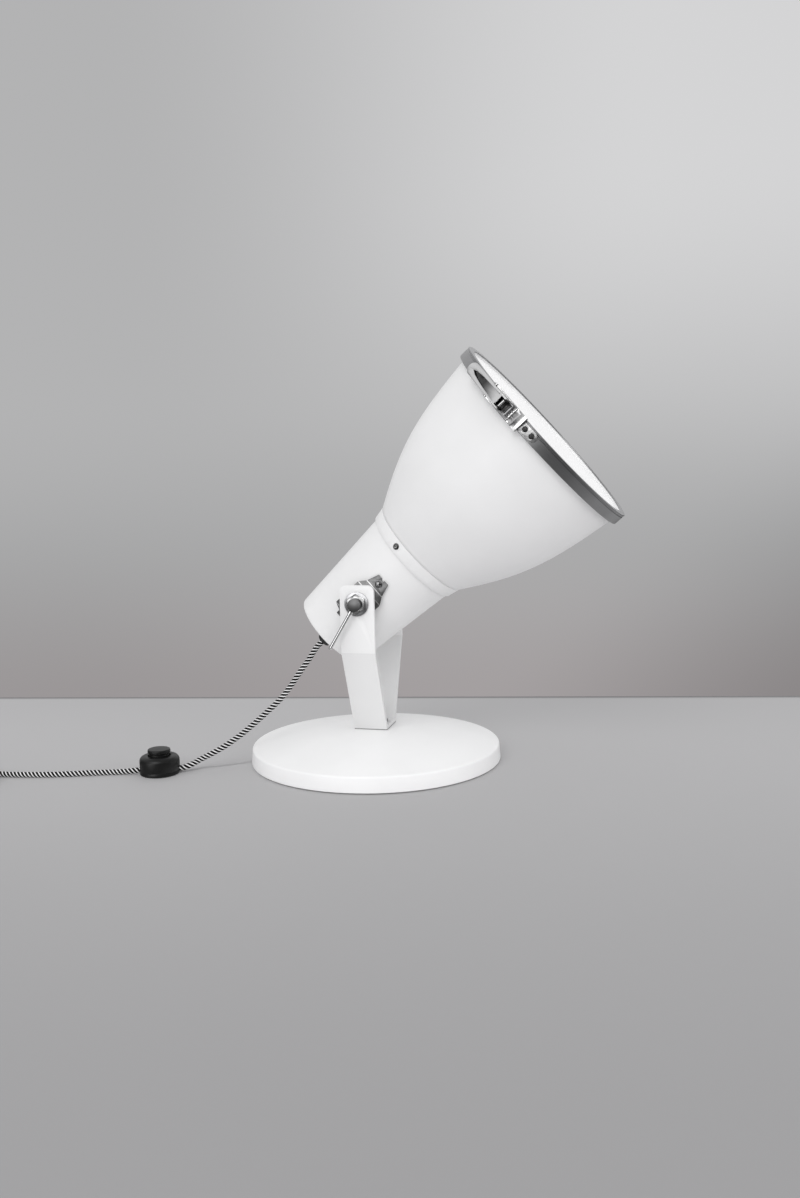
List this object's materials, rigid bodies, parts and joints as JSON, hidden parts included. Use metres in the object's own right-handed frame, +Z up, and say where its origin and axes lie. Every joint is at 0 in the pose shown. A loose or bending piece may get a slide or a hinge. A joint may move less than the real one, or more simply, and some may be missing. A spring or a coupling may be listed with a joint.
{
  "type": "uplighter",
  "caption": "Bell-shaped uplighter with an opal glass and latched rim, tilting in a stirrup on a weighted round base, with a textile cord, foot switch and plug.",
  "frame": {"origin": "on the floor under the middle of the round base", "axes": "+Z up, the tilt axis along Y, the head points to +X and up"},
  "size_m": [0.8674, 0.3991, 0.4794],
  "materials": {
    "white": "satin white paint",
    "iron": "raw",
    "rubber": "matt",
    "silicone": "satin",
    "steel": "brushed",
    "dark_steel": "zinc plated, dull",
    "chrome": "polished",
    "ceramic": "glazed",
    "opal": "opal",
    "bulb": "opal",
    "cord": "black and white braid",
    "black_plastic": "satin",
    "brass": "plated"
  },
  "bodies": {
    "stand": {"base_shell": "white", "base_weight": "iron", "base_pad": "rubber", "stirrup": "white", "stirrup_bolts": "steel", "stirrup_nuts": "steel", "pivot_washers": "steel", "cord_upper": "cord", "switch_base": "black_plastic", "switch_cover": "black_plastic", "switch_screws": "steel", "switch_core": "black_plastic", "switch_spring": "steel", "cord_lower": "cord", "cord_coil": "cord", "coil_tie": "black_plastic", "plug_body": "black_plastic", "plug_pins": "brass"},
    "head": {"housing": "white", "bracket_near": "dark_steel", "bracket_far": "dark_steel", "bracket_screws": "steel", "bracket_rivets": "dark_steel", "pivot_studs": "steel", "friction_washers": "dark_steel", "far_nut": "steel", "grommet": "rubber", "cord_tail": "cord", "collar": "white", "collar_screws": "steel", "holder_plate": "steel", "lampholder": "ceramic", "holder_nut": "brass", "bulb": "bulb", "shade": "white", "shade_screws": "steel", "gasket": "silicone", "glass": "opal", "band": "steel", "latch_base": "steel", "latch_catch": "steel", "latch_rivets": "dark_steel", "latch_pin": "steel"},
    "lock": {"lock_nut": "dark_steel", "lock_bar": "chrome"},
    "latch_lever": {"latch_lever": "steel", "loop_pin": "steel"},
    "latch_loop": {"latch_loop": "steel"},
    "button": {"switch_button": "black_plastic"}
  },
  "joints": [
    {"name": "head_tilt", "type": "hinge", "parent": "stand", "child": "head", "pos_m": [0, 0, 0.197], "axis": [0, -1, 0], "range_deg": [-50, 65], "deforming": ["cord_upper"]},
    {"name": "lock_lever", "type": "hinge", "parent": "head", "child": "lock", "pos_m": [0, -0.075, 0.197], "axis": [0, -1, 0], "range_deg": [0, 180]},
    {"name": "latch_lever", "type": "hinge", "parent": "head", "child": "latch_lever", "pos_m": [0.17538, -0.12792, 0.41096], "axis": [0.7478, 0, 0.6639], "range_deg": [0, 100]},
    {"name": "latch_loop", "type": "hinge", "parent": "latch_lever", "child": "latch_loop", "pos_m": [0.1632, -0.11573, 0.42468], "axis": [0.7478, 0, 0.6639], "range_deg": [-116, 0]},
    {"name": "switch_button", "type": "slide", "parent": "stand", "child": "button", "axis": [0, 0, -1], "range_m": [0, 0.004], "stiffness_N_per_m": 800, "springref_m": -0.006, "deforming": ["switch_spring"]}
  ],
  "couplings": [
    {"joint": "latch_loop", "follows": "latch_lever", "ratio": -1.15}
  ]
}
